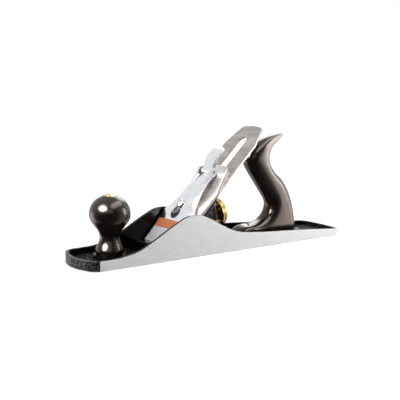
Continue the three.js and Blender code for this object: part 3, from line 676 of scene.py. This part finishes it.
# ---- stage: metres, watts and degrees ------------------------------------------
CAMERA_PLACE = (-0.49425, -0.61126, 0.18025)
CAMERA_HEADING = 52.21
CAMERA_TILT = -9.24
CAMERA_ROLL = 1.59
CAMERA_LENS = 64.06
FLOOR_HALF = 6.0
FLOOR_DROP = 0.0004
FLOOR_TONE = 0.86
FLOOR_GLOW = 0.46
FRONT = (-0.7, -0.7, -0.1)
FADE = (-0.1, 0.7)
WORLD_LEVELS = (1.0, 0.05)
MIDDLE = (0, 0, 0.04)
KEY_PLACE = (-0.95, -0.16, 0.68)
KEY_SIZE = (0.9, 0.7)
WARM = (1, 0.92, 0.86)


def stage_floor():
    """A pale floor that glows a little and is left out of reflections and shadows."""
    mesh = bpy.data.meshes.new("floor")
    half = FLOOR_HALF
    mesh.from_pydata([(-half, -half, 0), (half, -half, 0), (half, half, 0), (-half, half, 0)], [],
                     [(0, 1, 2, 3)])
    obj = bpy.data.objects.new("floor", mesh)
    obj.location.z = -FLOOR_DROP
    obj.visible_glossy = False
    obj.visible_shadow = False
    bpy.context.scene.collection.objects.link(obj)
    material = bpy.data.materials.new("pale_floor")
    material.use_nodes = True
    shader = material.node_tree.nodes["Principled BSDF"]
    shader.inputs["Base Color"].default_value = (FLOOR_TONE, FLOOR_TONE, FLOOR_TONE, 1)
    shader.inputs["Roughness"].default_value = 0.9
    shader.inputs["Specular IOR Level"].default_value = 0.0
    shader.inputs["Emission Color"].default_value = (1, 1, 1, 1)
    shader.inputs["Emission Strength"].default_value = FLOOR_GLOW
    mesh.materials.append(material)


def softbox(name, place, target, size, power, shape="RECTANGLE", colour=(1, 1, 1)):
    """A lamp aimed at a target, seen in reflections and by neither the camera nor diffuse light."""
    data = bpy.data.lights.new(name, "AREA")
    data.shape = shape
    data.color = colour
    data.size, data.size_y = size
    data.energy = power
    obj = bpy.data.objects.new(name, data)
    obj.location = place
    obj.rotation_euler = (Vector(target) - Vector(place)).to_track_quat("-Z", "Y").to_euler()
    obj.visible_diffuse = False
    obj.visible_camera = False
    bpy.context.scene.collection.objects.link(obj)
    return obj


def studio():
    """A world that dims towards the front, but is white to the camera, and eight lamps."""
    world = bpy.data.worlds.new("studio")
    world.use_nodes = True
    nodes, links = world.node_tree.nodes, world.node_tree.links
    background = nodes["Background"]
    background.inputs["Color"].default_value = (1, 1, 1, 1)
    coords = nodes.new("ShaderNodeTexCoord")
    facing = nodes.new("ShaderNodeVectorMath")
    facing.operation = "DOT_PRODUCT"
    facing.inputs[1].default_value = FRONT
    links.new(coords.outputs["Generated"], facing.inputs[0])
    shade = nodes.new("ShaderNodeMapRange")
    shade.interpolation_type = "SMOOTHSTEP"
    shade.inputs["From Min"].default_value, shade.inputs["From Max"].default_value = FADE
    shade.inputs["To Min"].default_value, shade.inputs["To Max"].default_value = WORLD_LEVELS
    links.new(facing.outputs["Value"], shade.inputs["Value"])
    seen = nodes.new("ShaderNodeLightPath")
    brighter = nodes.new("ShaderNodeMath")
    brighter.operation = "MAXIMUM"
    links.new(shade.outputs["Result"], brighter.inputs[0])
    links.new(seen.outputs["Is Camera Ray"], brighter.inputs[1])
    links.new(brighter.outputs["Value"], background.inputs["Strength"])
    bpy.context.scene.world = world
    lamps()


def lamps():
    """Highlights, one soft lamp that only lights surfaces, and one that lights only the tote."""
    softbox("key", KEY_PLACE, MIDDLE, KEY_SIZE, 50, shape="ELLIPSE")
    softbox("overhead", (0.36, -0.54, 1.35), MIDDLE, (2.0, 0.7), 22)
    softbox("back", (0.9, 0.85, 0.9), MIDDLE, (0.8, 0.8), 8)
    softbox("strip", (0.84, -0.53, 0.25), MIDDLE, (0.3, 0.5), 4)
    daylight = softbox("daylight", KEY_PLACE, MIDDLE, KEY_SIZE, 8)
    daylight.visible_diffuse = True
    daylight.visible_glossy = False
    softbox("fill", (-0.78, -1.0, 0.6), MIDDLE, (0.9, 0.5), 1.8)
    glow = softbox("rear_glow", (1.05, -0.5, -0.05), MIDDLE, (0.8, 0.9), 8, colour=WARM)
    lit = bpy.data.collections.new("lit_by_rear_glow")
    lit.objects.link(TOTE)
    glow.light_linking.receiver_collection = lit
    softbox("left_glow", (-0.75, 0.9, -0.3), MIDDLE, (0.7, 0.7), 3, colour=WARM)


def camera():
    """A camera looking along its heading, turned from X towards Y, and tilted down."""
    data = bpy.data.cameras.new("camera")
    data.lens = CAMERA_LENS
    data.sensor_width = 36
    data.clip_start = 0.01
    obj = bpy.data.objects.new("camera", data)
    obj.matrix_world = (
        Matrix.Translation(CAMERA_PLACE)
        @ Matrix.Rotation(math.radians(CAMERA_HEADING - 90), 4, "Z")
        @ Matrix.Rotation(math.radians(90 + CAMERA_TILT), 4, "X")
        @ Matrix.Rotation(math.radians(CAMERA_ROLL), 4, "Z"))
    bpy.context.scene.collection.objects.link(obj)
    bpy.context.scene.camera = obj


stage_floor()
studio()
camera()
bpy.context.scene.view_settings.view_transform = "Standard"
